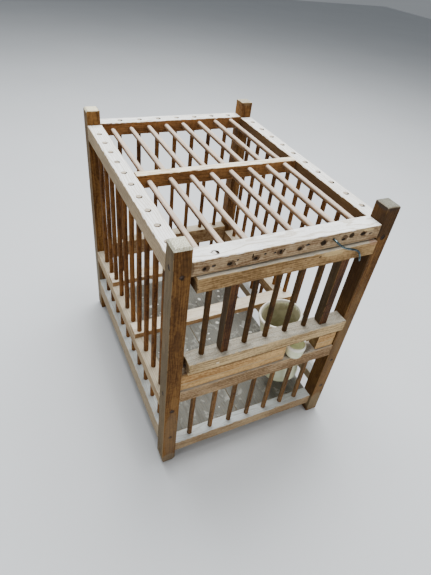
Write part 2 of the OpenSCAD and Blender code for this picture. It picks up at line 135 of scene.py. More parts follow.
class Net:
    """A node tree being built. Each call adds a node and returns one of its outputs."""

    def __init__(self, tree):
        self.tree = tree

    def make(self, kind, values=None, out=0, **settings):
        n = self.tree.nodes.new(kind)
        for k, v in settings.items():
            setattr(n, k, v)
        for k, v in (values or {}).items():
            if isinstance(v, bpy.types.NodeSocket):
                self.tree.links.new(v, n.inputs[k])
            else:
                n.inputs[k].default_value = v
        return n.outputs[out]

    def math(self, op, a, b=None, clamp=False):
        values = {0: a} if b is None else {0: a, 1: b}
        return self.make("ShaderNodeMath", values, operation=op, use_clamp=clamp)

    def vmath(self, op, a, b=None, out=0):
        values = {0: a} if b is None else {0: a, 1: b}
        return self.make("ShaderNodeVectorMath", values, out=out, operation=op)

    def mix(self, f, a, b, blend="MIX"):
        return self.make(
            "ShaderNodeMix", {0: f, 6: a, 7: b}, out=2, data_type="RGBA", blend_type=blend
        )

    def span(self, v, low, high, to_low=0.0, to_high=1.0):
        return self.make(
            "ShaderNodeMapRange",
            {"Value": v, "From Min": low, "From Max": high, "To Min": to_low, "To Max": to_high},
            interpolation_type="SMOOTHSTEP",
        )

    def noise(self, vector, scale, detail=3.0, rough=0.55, distortion=0.0):
        return self.make(
            "ShaderNodeTexNoise",
            {
                "Vector": vector,
                "Scale": scale,
                "Detail": detail,
                "Roughness": rough,
                "Distortion": distortion,
            },
        )

    def stretch(self, vector, scale):
        return self.vmath("MULTIPLY", vector, scale)

    def scaled(self, vector, factor):
        return self.make(
            "ShaderNodeVectorMath", {"Vector": vector, "Scale": factor}, operation="SCALE"
        )


def new_material(name):
    m = bpy.data.materials.new(name)
    m.use_nodes = True
    m.node_tree.nodes.clear()
    net = Net(m.node_tree)
    shader = m.node_tree.nodes.new("ShaderNodeBsdfPrincipled")
    out = m.node_tree.nodes.new("ShaderNodeOutputMaterial")
    m.node_tree.links.new(shader.outputs[0], out.inputs[0])
    return m, net, shader


def link(net, value, shader, socket):
    net.tree.links.new(value, shader.inputs[socket])


# ---------------------------------------------------------------- wood


def grain_group():
    """Growth rings, fibres, pores and blotches for a board whose grain runs along its Z, in millimetres."""
    g = bpy.data.node_groups.new("grain", "ShaderNodeTree")
    g.interface.new_socket("Vector", in_out="INPUT", socket_type="NodeSocketVector")
    g.interface.new_socket("Pith", in_out="INPUT", socket_type="NodeSocketVector")
    for n in ("Ring", "Fibre", "Pore", "Blotch", "Height"):
        g.interface.new_socket(n, in_out="OUTPUT", socket_type="NodeSocketFloat")
    net = Net(g)
    start = g.nodes.new("NodeGroupInput")
    p, pith = start.outputs[0], start.outputs[1]
    own = net.vmath("ADD", p, net.scaled(pith, 7.0))
    bend = net.make(
        "ShaderNodeTexNoise",
        {"Vector": net.stretch(own, (0.05, 0.05, 0.011)), "Scale": 1.0, "Detail": 2.0},
        out=1,
    )
    bend = net.vmath("MULTIPLY", net.vmath("SUBTRACT", bend, (0.5, 0.5, 0.5)), (14, 14, 0))
    flat = net.vmath("MULTIPLY", net.vmath("ADD", net.vmath("SUBTRACT", p, pith), bend), (1, 1, 0.0))
    radius = net.vmath("LENGTH", flat, out=1)
    years = net.math("MULTIPLY", net.noise(net.stretch(own, (0.12, 0.12, 0.004)), 1.0, 2.0), 2.2)
    turns = net.math("ADD", net.math("MULTIPLY", radius, 0.43), years)
    ring = net.math("FRACT", turns)
    late = net.math("MULTIPLY", net.span(ring, 0.25, 0.86), net.span(ring, 1.0, 0.93))
    fibre = net.noise(net.stretch(own, (1.5, 1.5, 0.03)), 1.0, 4.0, 0.62)
    pore = net.span(net.noise(net.stretch(own, (3.2, 3.2, 0.07)), 1.0, 2.0, 0.5), 0.60, 0.70)
    blotch = net.noise(net.stretch(own, (0.06, 0.06, 0.018)), 1.0, 3.0, 0.6)
    height = net.math("ADD", net.math("MULTIPLY", late, 0.45), net.math("MULTIPLY", fibre, 0.9))
    height = net.math("SUBTRACT", height, net.math("MULTIPLY", pore, 0.8))
    end = g.nodes.new("NodeGroupOutput")
    for i, v in enumerate((late, fibre, pore, blotch, height)):
        g.links.new(v, end.inputs[i])
    return g


GRAIN = grain_group()
ORDER = {"X": (1, 2, 0), "Y": (0, 2, 1), "Z": (0, 1, 2)}  # which coordinate is across, across, along


def wood(name, axis, centre, pith, light, dark, up, up_dark, up_share=0.9, side=None, rough=0.8,
         contrast=1.0, spots=None, edge=None, edge_share=0.5, grime=0.35, lines=0.35, end=None, marks=()):
    """Weathered wood. light and dark are the body's colours, up and up_dark those of its upward faces.

    side is (direction, share, colour) for faces turned to one side, bleached on some boards and painted shade on
    others, spots is (share, colour) for droppings.
    lines is how clear the grain is on top, end the colour of the specks in an upward end grain.
    marks are stains and painted shade: (centre and radii in millimetres from the frame's front left corner, colour,
    share, and how much of the middle is left clear).
    """
    m, net, shader = new_material(name)
    place = net.make("ShaderNodeTexCoord", out=3)
    normal = net.make("ShaderNodeTexCoord", out=1)
    local = net.scaled(net.vmath("SUBTRACT", place, tuple(centre)), 1000.0)
    split = net.tree.nodes.new("ShaderNodeSeparateXYZ")
    net.tree.links.new(local, split.inputs[0])
    a, b, c = ORDER[axis]
    p = net.make(
        "ShaderNodeCombineXYZ", {0: split.outputs[a], 1: split.outputs[b], 2: split.outputs[c]}
    )
    grain = net.tree.nodes.new("ShaderNodeGroup")
    grain.node_tree = GRAIN
    net.tree.links.new(p, grain.inputs[0])
    grain.inputs[1].default_value = pith
    ring, fibre, pore, blotch, height = grain.outputs[:5]

    mid = net.noise(local, 0.32, 4.0, 0.6)
    fine = net.noise(local, 1.7, 3.0, 0.6)
    streak = net.span(fibre, 0.32, 0.72)
    depth = net.math("ADD", net.math("MULTIPLY", ring, 0.42 * contrast),
                     net.math("MULTIPLY", streak, 0.40 * contrast))
    depth = net.math("ADD", depth, net.span(blotch, 0.32, 0.68, -0.22, 0.46))
    depth = net.math("ADD", depth, net.span(mid, 0.35, 0.66, -0.12, 0.26), clamp=True)
    body = net.mix(depth, light, dark)
    # Faces turned one way take the side colour: bleached grey on some boards, painted shade on others.
    if side:
        facing = net.vmath("DOT_PRODUCT", normal, side[0], out=1)
        share = net.math("MULTIPLY", net.span(facing, 0.35, 0.8),
                         net.span(blotch, 0.25, 0.6, side[1] * 0.75, side[1]))
        grey = net.mix(net.math("MULTIPLY", depth, 0.75), side[2], net.mix(0.55, side[2], dark))
        body = net.mix(share, body, grey)
    split_n = net.tree.nodes.new("ShaderNodeSeparateXYZ")
    net.tree.links.new(normal, split_n.inputs[0])
    facing_up = net.span(split_n.outputs[2], 0.25, 0.85)
    # Upward faces take the up colours: bleached, dusty wood, and on the brightest tops also painted light from above.
    share = net.math("MULTIPLY", facing_up, net.span(mid, 0.30, 0.55, up_share * 0.82, up_share))
    thin = net.math("MULTIPLY", net.span(ring, 0.70, 0.95), net.span(mid, 0.36, 0.52, 0.3, 1.0))
    top_depth = net.math("ADD", net.math("MULTIPLY", streak, 0.30), net.math("MULTIPLY", thin, lines))
    top_depth = net.math("ADD", top_depth, net.span(blotch, 0.45, 0.75, 0.0, 0.34), clamp=True)
    top = net.mix(top_depth, up, up_dark)
    if end:
        grit = net.span(net.noise(local, 1.15, 3.0, 0.7), 0.46, 0.60)
        top = net.mix(net.math("MULTIPLY", grit, 0.62), top, end)
    colour = net.mix(share, body, top)
    if edge:
        worn = net.make("ShaderNodeAttribute", out=2, attribute_name="edge")
        worn = net.math("MULTIPLY", worn, net.span(mid, 0.35, 0.6, edge_share * 0.25, edge_share))
        colour = net.mix(worn, colour, edge)
    if spots:
        patch = net.math("MULTIPLY", net.span(net.noise(local, 0.055, 4.0, 0.62, 0.6), 0.55, 0.66),
                         net.span(fine, 0.35, 0.55))
        patch = net.math("MULTIPLY", patch, facing_up)
        colour = net.mix(net.math("MULTIPLY", patch, spots[0]), colour, spots[1])
    if marks:
        wobble = net.make("ShaderNodeTexNoise", {"Vector": local, "Scale": 0.42, "Detail": 3.0}, out=1)
        wobble = net.scaled(net.vmath("SUBTRACT", wobble, (0.5, 0.5, 0.5)), 3.2)
        here = net.vmath("ADD", net.scaled(place, 1000.0), wobble)
        for centre, radii, tone, strength, clear in marks:
            away = net.vmath("SUBTRACT", here, (centre[0] - OX, centre[1] - OY, centre[2]))
            reach = net.vmath("LENGTH", net.vmath("DIVIDE", away, radii), out=1)
            near = net.span(reach, 1.0, 0.72, 0.0, strength)
            if clear:
                near = net.math("MULTIPLY", near, net.span(reach, clear - 0.15, clear))
            colour = net.mix(near, colour, tone)
    dirt = net.math("MULTIPLY", pore, net.span(fine, 0.3, 0.6, grime * 0.3, grime))
    colour = net.mix(dirt, colour, net.mix(0.85, dark, (0.01, 0.006, 0.003, 1)))
    specks = net.span(net.noise(local, 0.9, 2.0, 0.5), 0.66, 0.76)
    colour = net.mix(net.math("MULTIPLY", specks, 0.35), colour, net.mix(0.3, dark, (0.02, 0.012, 0.006, 1)))
    # Faces cut into the wood by holes and gouges are darkened almost to black: painted shade in the hollows.
    deep = net.make("ShaderNodeAttribute", out=2, attribute_name="deep")
    colour = net.mix(net.math("MULTIPLY", deep, 0.85), colour, (0.025, 0.016, 0.009, 1))
    link(net, colour, shader, "Base Color")
    link(net, net.span(fine, 0.3, 0.7, rough - 0.08, rough + 0.08), shader, "Roughness")
    rise = net.math("ADD", height, net.math("MULTIPLY", fine, 0.45))
    bump = net.make("ShaderNodeBump", {"Strength": 0.55, "Distance": 0.00035, "Height": rise})
    link(net, bump, shader, "Normal")
    shader.inputs["Specular IOR Level"].default_value = 0.13
    return m


# ---------------------------------------------------------------- pieces made from CAD shapes


def publish(name, mesh, node_names, material):
    """A finished piece: it rides on its nodes' body and stands for them, whose shapes it hides."""
    mesh.materials.clear()
    mesh.materials.append(material)
    o = bpy.data.objects.new(name, mesh)
    scene.collection.objects.link(o)
    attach(o, body_of_node[node_names[0]])
    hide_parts(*node_names)
    return o


def finish_shading(o, degrees=50):
    o.data.polygons.foreach_set("use_smooth", [True] * len(o.data.polygons))
    o.data.set_sharp_from_angle(angle=math.radians(degrees))
    weighted = o.modifiers.new("weighted", "WEIGHTED_NORMAL")
    weighted.keep_sharp = True
    return o


def rounded_shading(o, strip):
    """Shades arrises as if rounded: a strip's corners take the normals of the flat faces beside it."""
    mesh = o.data
    mesh.polygons.foreach_set("use_smooth", [True] * len(mesh.polygons))
    around = [[] for _ in mesh.vertices]
    normals, sliver = [], []
    for f in mesh.polygons:
        points = [mesh.vertices[v].co for v in f.vertices]
        longest = max((a - b).length for a, b in zip(points, points[1:] + points[:1]))
        sliver.append(2 * f.area / max(longest, 1e-9) < 6e-6)
        normals.append(f.normal.copy())
        for v in f.vertices:
            around[v].append(f.index)
    out = []
    for f in mesh.polygons:
        for v in f.vertices:
            near = [g for g in around[v] if not sliver[g] and not strip[g]]
            own = normals[f.index]
            if sliver[f.index] and near:
                own = normals[max(near, key=lambda g: mesh.polygons[g].area)]
            total = Vector((0, 0, 0))
            if strip[f.index]:
                flats = []
                for g in near:
                    if normals[g].dot(own) > 0.5 and all(normals[g].dot(n) < 0.99 for n in flats):
                        flats.append(normals[g])
                        total += normals[g]
            else:
                for g in near:
                    if normals[g].dot(own) > 0.82:
                        total += normals[g] * mesh.polygons[g].area
            out.append(total.normalized() if total.length > 1e-12 else own)
    mesh.normals_split_custom_set(out)
    return o


def held_inside(mesh, node):
    """Keeps every point inside the CAD node's own box."""
    low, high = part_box(node)
    for v in mesh.vertices:
        v.co = [min(max(c, a), b) for c, a, b in zip(v.co, low, high)]


def convex_angle(e):
    """The edge's outward angle in degrees: 0 is flat, and hollow edges count as 0."""
    if len(e.link_faces) != 2:
        return 0.0
    return math.degrees(max(0.0, e.calc_face_angle_signed(0.0)))


def blob(centre, radii, seed, rough=0.25, detail=2):
    """A lumpy closed shape, for gouges and droppings."""
    bm = bmesh.new()
    bmesh.ops.create_icosphere(bm, subdivisions=detail, radius=1.0)
    for v in bm.verts:
        k = 1 + rough * noise.noise(v.co * 1.6 + Vector((seed, seed * 0.7, -seed)))
        v.co = Vector(centre) + Vector((v.co.x * radii[0], v.co.y * radii[1], v.co.z * radii[2])) * k
    mesh = bpy.data.meshes.new("blob")
    bm.to_mesh(mesh)
    bm.free()
    return mesh


def joined(meshes):
    bm = bmesh.new()
    for mesh in meshes:
        bm.from_mesh(mesh)
        bpy.data.meshes.remove(mesh)
    out = bpy.data.meshes.new("joined")
    bm.to_mesh(out)
    bm.free()
    return out


def evaluated(o):
    """o's mesh with its modifiers applied, as a new mesh."""
    bpy.context.view_layer.update()
    return bpy.data.meshes.new_from_object(
        o.evaluated_get(bpy.context.evaluated_depsgraph_get())
    )


def gouged(mesh, cutters):
    """mesh with the cutters' shapes taken out of it."""
    body = bpy.data.objects.new("body", mesh)
    tool = bpy.data.objects.new("tool", joined(cutters))
    for o in (body, tool):
        scene.collection.objects.link(o)
    cut = body.modifiers.new("cut", "BOOLEAN")
    cut.operation, cut.solver, cut.object = "DIFFERENCE", "EXACT", tool
    cut.use_self = True
    out = evaluated(body)
    for o in (body, tool):
        bpy.data.objects.remove(o)
    return out


def clean_copy(node):
    """The CAD node's own shape, with its flat faces whole again."""
    bm = bmesh.new()
    bm.from_mesh(nodes[node].data)
    bmesh.ops.remove_doubles(bm, verts=bm.verts[:], dist=2e-6)
    bmesh.ops.dissolve_limit(
        bm, angle_limit=math.radians(0.6), verts=bm.verts[:], edges=bm.edges[:]
    )
    return bm


def flat_areas(bm):
    """The faces grouped into flat areas."""
    seen, groups = set(), []
    for f in bm.faces:
        if f in seen:
            continue
        seen.add(f)
        group, stack = {f}, [f]
        while stack:
            for e in stack.pop().edges:
                for g in e.link_faces:
                    if g not in seen and g.normal.dot(f.normal) > 0.9999:
                        seen.add(g)
                        group.add(g)
                        stack.append(g)
        groups.append(group)
    return groups


def outlines(group):
    """A flat area's closed outlines as lists of vertices, the outermost first."""
    after = {}
    for f in group:
        for corner in f.loops:
            if sum(g in group for g in corner.edge.link_faces) == 1:
                after.setdefault(corner.vert, []).append(corner.link_loop_next.vert)
    found = []
    while after:
        start = next(iter(after))
        ring, v = [], start
        while v in after:
            ring.append(v)
            w = after[v].pop()
            if not after[v]:
                del after[v]
            v = w
            if v is start:
                break
        found.append(ring)

    def reach(ring):
        return sum(
            max(v.co[i] for v in ring) - min(v.co[i] for v in ring) for i in range(3)
        )

    return sorted(found, key=reach, reverse=True)


def shell(node):
    """The CAD node's outside without its holes, mortises and tenons, and a list of its round holes."""
    bm = clean_copy(node)
    groups = flat_areas(bm)
    rings = [outlines(g) for g in groups]
    home = {f: k for k, g in enumerate(groups) for f in g}
    closed = set()
    holes = []
    for k, found in enumerate(rings):
        for ring in found[1:]:
            n = len(ring)
            closed |= {frozenset((ring[i], ring[(i + 1) % n])) for i in range(n)}
            centre = sum((v.co for v in ring), Vector()) / n
            radii = [(v.co - centre).length for v in ring]
            if n > 10 and max(radii) - min(radii) < 0.1 * max(radii):
                holes.append((centre, max(radii), next(iter(groups[k])).normal.copy()))
    area = [sum(f.calc_area() for f in g) for g in groups]
    first = max(range(len(groups)), key=lambda k: area[k])
    kept, stack = {first}, [first]
    while stack:
        for f in groups[stack.pop()]:
            for e in f.edges:
                if frozenset(e.verts) in closed:
                    continue
                for g in e.link_faces:
                    if home[g] not in kept:
                        kept.add(home[g])
                        stack.append(home[g])
    out = bmesh.new()
    made = {}
    for k in sorted(kept):
        ring = rings[k][0]
        for v in ring:
            if v not in made:
                made[v] = out.verts.new(v.co)
        out.faces.new([made[v] for v in ring])
    bm.free()
    out.normal_update()
    straight = []
    for v in out.verts:
        if len(v.link_edges) == 2:
            a, b = (e.other_vert(v).co - v.co for e in v.link_edges)
            if a.normalized().dot(b.normalized()) < -0.99999:
                straight.append(v)
    bmesh.ops.dissolve_verts(out, verts=straight)
    out.normal_update()
    return out, holes


def pit(centre, radius, normal, seed, depth=1.6):
    """A cutter for a slightly loose and uneven round hole."""
    side = normal.orthogonal().normalized()
    other = normal.cross(side)
    shift = Vector((0.5 + 0.4 * math.sin(seed * 9.7), -1.15 if normal.z > 0.9 else 0.1, 0)) * MM
    shift -= normal * shift.dot(normal)
    if radius < 2.2 * MM:
        shift *= 0.3
    bm = bmesh.new()
    rings = []
    for h in (0.8, -depth):
        ring = []
        for i in range(20):
            a = 2 * math.pi * i / 20
            r = radius + (0.20 + 0.22 * noise.noise(Vector((math.cos(a), math.sin(a), seed)))) * MM
            ring.append(bm.verts.new(
                centre + shift + (side * math.cos(a) + other * math.sin(a)) * r + normal * h * MM
            ))
        rings.append(ring)
    for i in range(20):
        j = (i + 1) % 20
        bm.faces.new((rings[0][i], rings[0][j], rings[1][j], rings[1][i]))
    bm.faces.new(rings[0][::-1])
    bm.faces.new(rings[1])
    bmesh.ops.recalc_face_normals(bm, faces=bm.faces[:])
    mesh = bpy.data.meshes.new("pit")
    bm.to_mesh(mesh)
    bm.free()
    return mesh


def wear_amount(p, seed, wear, chip):
    """How far an edge has worn back at a point: always a little, and here and there a chip."""
    q = p * 1000 + Vector((seed * 13.1, seed * 7.7, -seed * 5.3))
    fine = noise.noise(q * 0.16)
    slow = noise.noise(q * 0.035)
    flake = max(0.0, noise.noise(q * 0.09 + Vector((31, 7, 3))) - 0.32) / 0.4
    return wear * (0.55 * fine + 0.6 * slow + 0.25) + chip * min(1.0, flake)


def worn(node, material, seed, bevel=0.5, wear=0.35, chip=1.0, cutters=(), shows=None, short=4.0):
    """A board with the CAD node's shape, its arrises rounded, waved and chipped.

    shows says for a round hole's radius and direction whether its mouth is cut. Edges under short
    millimetres stay sharp.
    """
    bm, holes = shell(node)
    long_edges = [
        e for e in bm.edges
        if convex_angle(e) > 60 and e.calc_length() > short * MM
        and max(f.calc_area() for f in e.link_faces) > 300 * MM * MM
    ]
    if long_edges:
        bmesh.ops.bevel(
            bm, geom=long_edges, offset=bevel * MM, offset_type="OFFSET", segments=1,
            profile=0.5, affect="EDGES", clamp_overlap=False, loop_slide=True,
        )
    bmesh.ops.remove_doubles(bm, verts=bm.verts[:], dist=4e-6)
    bmesh.ops.dissolve_degenerate(bm, edges=bm.edges[:], dist=4e-6)
    mark = bm.faces.layers.int.new("strip")

    def is_strip(f):
        longest = max(e.calc_length() for e in f.edges)
        width = f.calc_area() / max(longest, 1e-7)
        n = f.normal
        tilted = max(abs(n.x), abs(n.y), abs(n.z)) < 0.985
        return tilted and longest > 3 * MM and width < 2.2 * MM

    strips = {f for f in bm.faces if is_strip(f)}
    cuts = {}
    for f in strips:
        for e in f.edges:
            if e.calc_length() > 7 * MM:
                cuts.setdefault(int(e.calc_length() / (3.6 * MM)), set()).add(e)
    for f in strips:
        f[mark] = 1
    for n, edges in sorted(cuts.items()):
        bmesh.ops.subdivide_edges(bm, edges=list(edges), cuts=n, use_grid_fill=True)
    away = {}
    for e in bm.edges:
        if len(e.link_faces) != 2:
            continue
        one, two = e.link_faces
        if one[mark] == two[mark]:
            continue
        strip, flat = (one, two) if one[mark] else (two, one)
        if e.calc_length() > 6 * MM or flat.calc_area() < 60 * MM * MM:
            continue
        along = (e.verts[1].co - e.verts[0].co).normalized()
        d = flat.normal.cross(along).normalized()
        mid = (e.verts[0].co + e.verts[1].co) / 2
        if d.dot(strip.calc_center_median() - mid) > 0:
            d = -d
        for v in e.verts:
            away.setdefault(v, []).append(d)
    for v, ds in away.items():
        if len(ds) == 2 and ds[0].dot(ds[1]) > 0.95:
            v.co += ds[0] * wear_amount(v.co + ds[0] * 0.01, seed, wear * MM, chip * MM)
    bmesh.ops.triangulate(
        bm, faces=[f for f in bm.faces if len(f.verts) > 4], ngon_method="EAR_CLIP"
    )
    bm.faces.ensure_lookup_table()
    tree = BVHTree.FromBMesh(bm)
    marks = [f[mark] for f in bm.faces]
    mesh = bpy.data.meshes.new("whole")
    bm.to_mesh(mesh)
    bm.free()
    mesh.attributes.remove(mesh.attributes["strip"])
    tools = list(cutters)
    reach = []
    for tool in tools:
        points = [v.co for v in tool.vertices]
        centre = sum(points, Vector()) / len(points)
        reach.append((centre, max((p - centre).length for p in points)))
    for k, (centre, radius, normal) in enumerate(holes):
        if radius < 2.2 * MM or (shows and shows(radius, normal)):
            tools.append(pit(centre, radius, normal, seed + k * 1.3))
            reach.append((centre, radius + 1.8 * MM))
    if tools:
        mesh = gouged(mesh, tools)
    mesh.name = node
    values, deep = [], []
    for f in mesh.polygons:
        place, normal, k, distance = tree.find_nearest(f.center)
        values.append(1.0 if marks[k] and distance < 0.02 * MM and normal.dot(f.normal) > 0.6 else 0.0)
        # Faces cut by a tool are marked for painted shade in the hollows.
        cut = distance > 0.05 * MM and any((f.center - c).length < r for c, r in reach)
        deep.append(1.0 if cut else 0.0)
    mesh.attributes.new("edge", "FLOAT", "FACE").data.foreach_set("value", values)
    mesh.attributes.new("deep", "FLOAT", "FACE").data.foreach_set("value", deep)
    held_inside(mesh, node)
    return rounded_shading(publish(node + "_wood", mesh, [node], material), values)


def islands(node):
    """The boxes of a CAD node's separate solids, as (lowest corner, highest corner)."""
    bm = bmesh.new()
    bm.from_mesh(nodes[node].data)
    bmesh.ops.remove_doubles(bm, verts=bm.verts[:], dist=2e-6)
    seen, found = set(), []
    for start in bm.verts:
        if start in seen:
            continue
        stack, group = [start], []
        seen.add(start)
        while stack:
            v = stack.pop()
            group.append(v.co.copy())
            for e in v.link_edges:
                w = e.other_vert(v)
                if w not in seen:
                    seen.add(w)
                    stack.append(w)
        low = Vector([min(p[i] for p in group) for i in range(3)])
        high = Vector([max(p[i] for p in group) for i in range(3)])
        found.append((low, high))
    bm.free()
    return sorted(found, key=lambda b: (round(b[0].x, 4), round(b[0].y, 4)))


def whittled(bm, low, high, seed, foot=1.0, head=1.0, start=0.0, recess=0.0, taper=9.0, sides=14):
    """Adds to bm one knife-cut round bar that fills the box from low to high along its longest side.

    foot and head narrow its two ends over the taper's length, start and recess shorten its near and far end.
    """
    size = high - low
    axis = max(range(3), key=lambda i: size[i])
    u, w = [i for i in range(3) if i != axis]
    radius = min(size[u], size[w]) / 2
    mid = (low + high) / 2
    z0, z1 = low[axis] + start * MM, high[axis] - recess * MM
    length = z1 - z0
    count = max(12, int(length / (4.5 * MM)))
    stations = [0.0, 0.3 * MM] + [length * i / count for i in range(1, count)] + [
        length - 0.35 * MM, length
    ]
    slope = [noise.noise(Vector((seed * 3.3, k, 1.7))) * 0.12 for k in (0.5, 9.5)]
    rings = []
    for s in stations:
        k = 1.0
        if s < taper * MM:
            k = foot + (1 - foot) * (s / (taper * MM)) ** 0.7
        if length - s < taper * MM:
            k = min(k, head + (1 - head) * ((length - s) / (taper * MM)) ** 0.7)
        if s in (0.0, length):
            k *= 0.9
        ring = []
        inner = min(1.0, min(s, length - s) / (12 * MM))
        bow = Vector((noise.noise(Vector((seed, s * 9, 0))), noise.noise(Vector((s * 9, seed, 5)))))
        for i in range(sides):
            a = 2 * math.pi * i / sides
            facet = noise.noise(Vector((math.cos(a) * 1.3 + seed, math.sin(a) * 1.3, s * 22)))
            ripple = noise.noise(Vector((a * 2.1, seed * 2.0, s * 160)))
            r = radius * k * (0.975 + inner * (0.05 * facet + 0.02 * ripple) - 0.005)
            r = min(r, radius * 0.998)
            p = Vector((0, 0, 0))
            p[u] = mid[u] + math.cos(a) * r + bow.x * 0.22 * MM * inner
            p[w] = mid[w] + math.sin(a) * r + bow.y * 0.22 * MM * inner
            p[axis] = z0 + s
            if s > length - 0.5 * MM:
                p[axis] -= (slope[0] * (p[u] - mid[u] + radius) + slope[1] * (p[w] - mid[w] + radius)) \
                    if slope[0] + slope[1] > 0 else 0.0
                p[axis] = min(p[axis], z1)
            ring.append(bm.verts.new(p))
        rings.append(ring)
    for one, two in zip(rings, rings[1:]):
        for i in range(sides):
            j = (i + 1) % sides
            bm.faces.new((one[i], one[j], two[j], two[i]))
    bm.faces.new(rings[0][::-1])
    bm.faces.new(rings[-1])
    bmesh.ops.recalc_face_normals(bm, faces=bm.faces[:])


def bars(name, node_names, material, seed, **shape):
    """One piece of whittled bars that stands for all the solids of these CAD nodes."""
    bm = bmesh.new()
    k = 0
    for node in node_names:
        for low, high in islands(node):
            k += 1
            own = dict(shape)
            if "recess" in own:
                own["recess"] += 0.3 * noise.noise(Vector((seed, k * 1.7, 2.2)))
            whittled(bm, low, high, seed + k * 1.37, **own)
    mesh = bpy.data.meshes.new(name)
    bm.to_mesh(mesh)
    bm.free()
    return finish_shading(publish(name, mesh, node_names, material), 45)


# ---------------------------------------------------------------- colours

POST_LIGHT, POST_DARK = srgb(134, 94, 48), srgb(78, 48, 18)
BROWN_LIGHT, BROWN_DARK = srgb(190, 160, 118), srgb(115, 81, 50)
WARM_LIGHT, WARM_DARK = srgb(231, 192, 133), srgb(161, 116, 69)
PALE_LIGHT, PALE_DARK = srgb(187, 146, 102), srgb(119, 83, 48)
BAR_LIGHT, BAR_DARK = srgb(96, 64, 28), srgb(48, 30, 10)
# The UP colours are for upward faces: bleached, dusty wood; the whitest also hold painted light from above.
WHITE_UP, WHITE_UP_DARK = srgb(252, 252, 249), srgb(212, 204, 190)
GREY_UP, GREY_UP_DARK = srgb(196, 190, 178), srgb(136, 124, 106)
DUST_UP, DUST_UP_DARK = srgb(216, 224, 224), srgb(168, 166, 156)
CREAM_UP, CREAM_UP_DARK = srgb(250, 240, 218), srgb(208, 180, 140)
OLIVE_SIDE = srgb(112, 102, 78)
# The first of these is a dark soot colour for stains and peg ends, and also painted shade on the sills' ends and the
# door rails' left ends.
SOOT_AND_SHADE, STRAW = srgb(44, 30, 18), srgb(236, 206, 148)


def middle(node):
    low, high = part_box(node)
    return (low + high) / 2


POSTS = {
    "post_front_left": dict(pith=(14, -9, 0), side=((-1, 0, 0), 0.85, OLIVE_SIDE)),
    "post_front_right": dict(pith=(-16, -4, 0), side=((-1, 0, 0), 0.6, srgb(74, 54, 28))),
    "post_back_left": dict(pith=(11, 13, 0), side=((-1, 0, 0), 0.6, OLIVE_SIDE)),
    "post_back_right": dict(pith=(-9, 17, 0), side=((1, 0, 0), 0.5, OLIVE_SIDE)),
}
POST_MARKS = {
    "post_front_left": [
        ((8.1, 0, 106), (3.4, 3, 3.8), SOOT_AND_SHADE, 0.8, 0.0), ((8.1, 0, 290), (3.2, 3, 3.4), SOOT_AND_SHADE, 0.7, 0.0),
        ((0, 8.7, 131), (3, 3, 3.4), SOOT_AND_SHADE, 0.7, 0.0), ((0, 8.7, 296), (3, 3, 3.2), SOOT_AND_SHADE, 0.7, 0.0),
        ((9, 0, 214), (5, 5, 17), srgb(72, 44, 20), 0.55, 0.0),
        ((4, 0, 262), (4, 4, 9), srgb(70, 42, 18), 0.5, 0.0),
        ((10, 0, 120), (5, 5, 12), srgb(150, 112, 66), 0.4, 0.0),
        ((8, 0, 6), (14, 22, 16), srgb(128, 116, 94), 0.6, 0.0), ((9, 0, 60), (9, 5, 52), srgb(130, 110, 84), 0.4, 0.0),
        ((11, 0, 300), (6, 5, 14), srgb(64, 40, 18), 0.5, 0.0),
    ],
    "post_front_right": [
        ((221, 8, 326), (15, 16, 9), srgb(52, 52, 50), 0.72, 0.0),
        ((221, 0, 306), (14, 10, 20), srgb(52, 34, 16), 0.72, 0.0),
        ((213.3, 8, 260), (3, 22, 70), srgb(48, 30, 14), 0.6, 0.0),
        ((221.4, 0, 290), (3.6, 3, 3.8), SOOT_AND_SHADE, 0.85, 0.0), ((221.4, 0, 55), (3.4, 3, 3.4), SOOT_AND_SHADE, 0.8, 0.0),
        ((221, 0, 20), (12, 20, 22), srgb(140, 128, 100), 0.55, 0.0),
        ((222, 0, 150), (7, 6, 34), srgb(126, 100, 66), 0.4, 0.0), ((222, 0, 120), (9, 5, 130), srgb(122, 102, 72), 0.3, 0.0),
    ],
    "post_back_left": [
        ((8, 304, 322), (12, 12, 4), srgb(240, 228, 190), 0.5, 0.0),
        ((0, 304, 60), (8, 14, 60), srgb(126, 118, 98), 0.5, 0.0),
    ],
    "post_back_right": [((221, 304, 322), (10, 12, 6), srgb(120, 104, 78), 0.5, 0.0)],
}
for i, (node, look) in enumerate(POSTS.items()):
    look = wood("wood_" + node, "Z", middle(node), look["pith"], POST_LIGHT, POST_DARK,
                srgb(238, 238, 218), srgb(176, 168, 138), 0.9, look["side"], 0.72,
                edge=srgb(172, 138, 92), edge_share=0.45, end=srgb(120, 112, 78),
                marks=POST_MARKS[node])
    worn(node, look, 3.1 + i * 5.7, bevel=0.55, wear=0.45, chip=1.1)

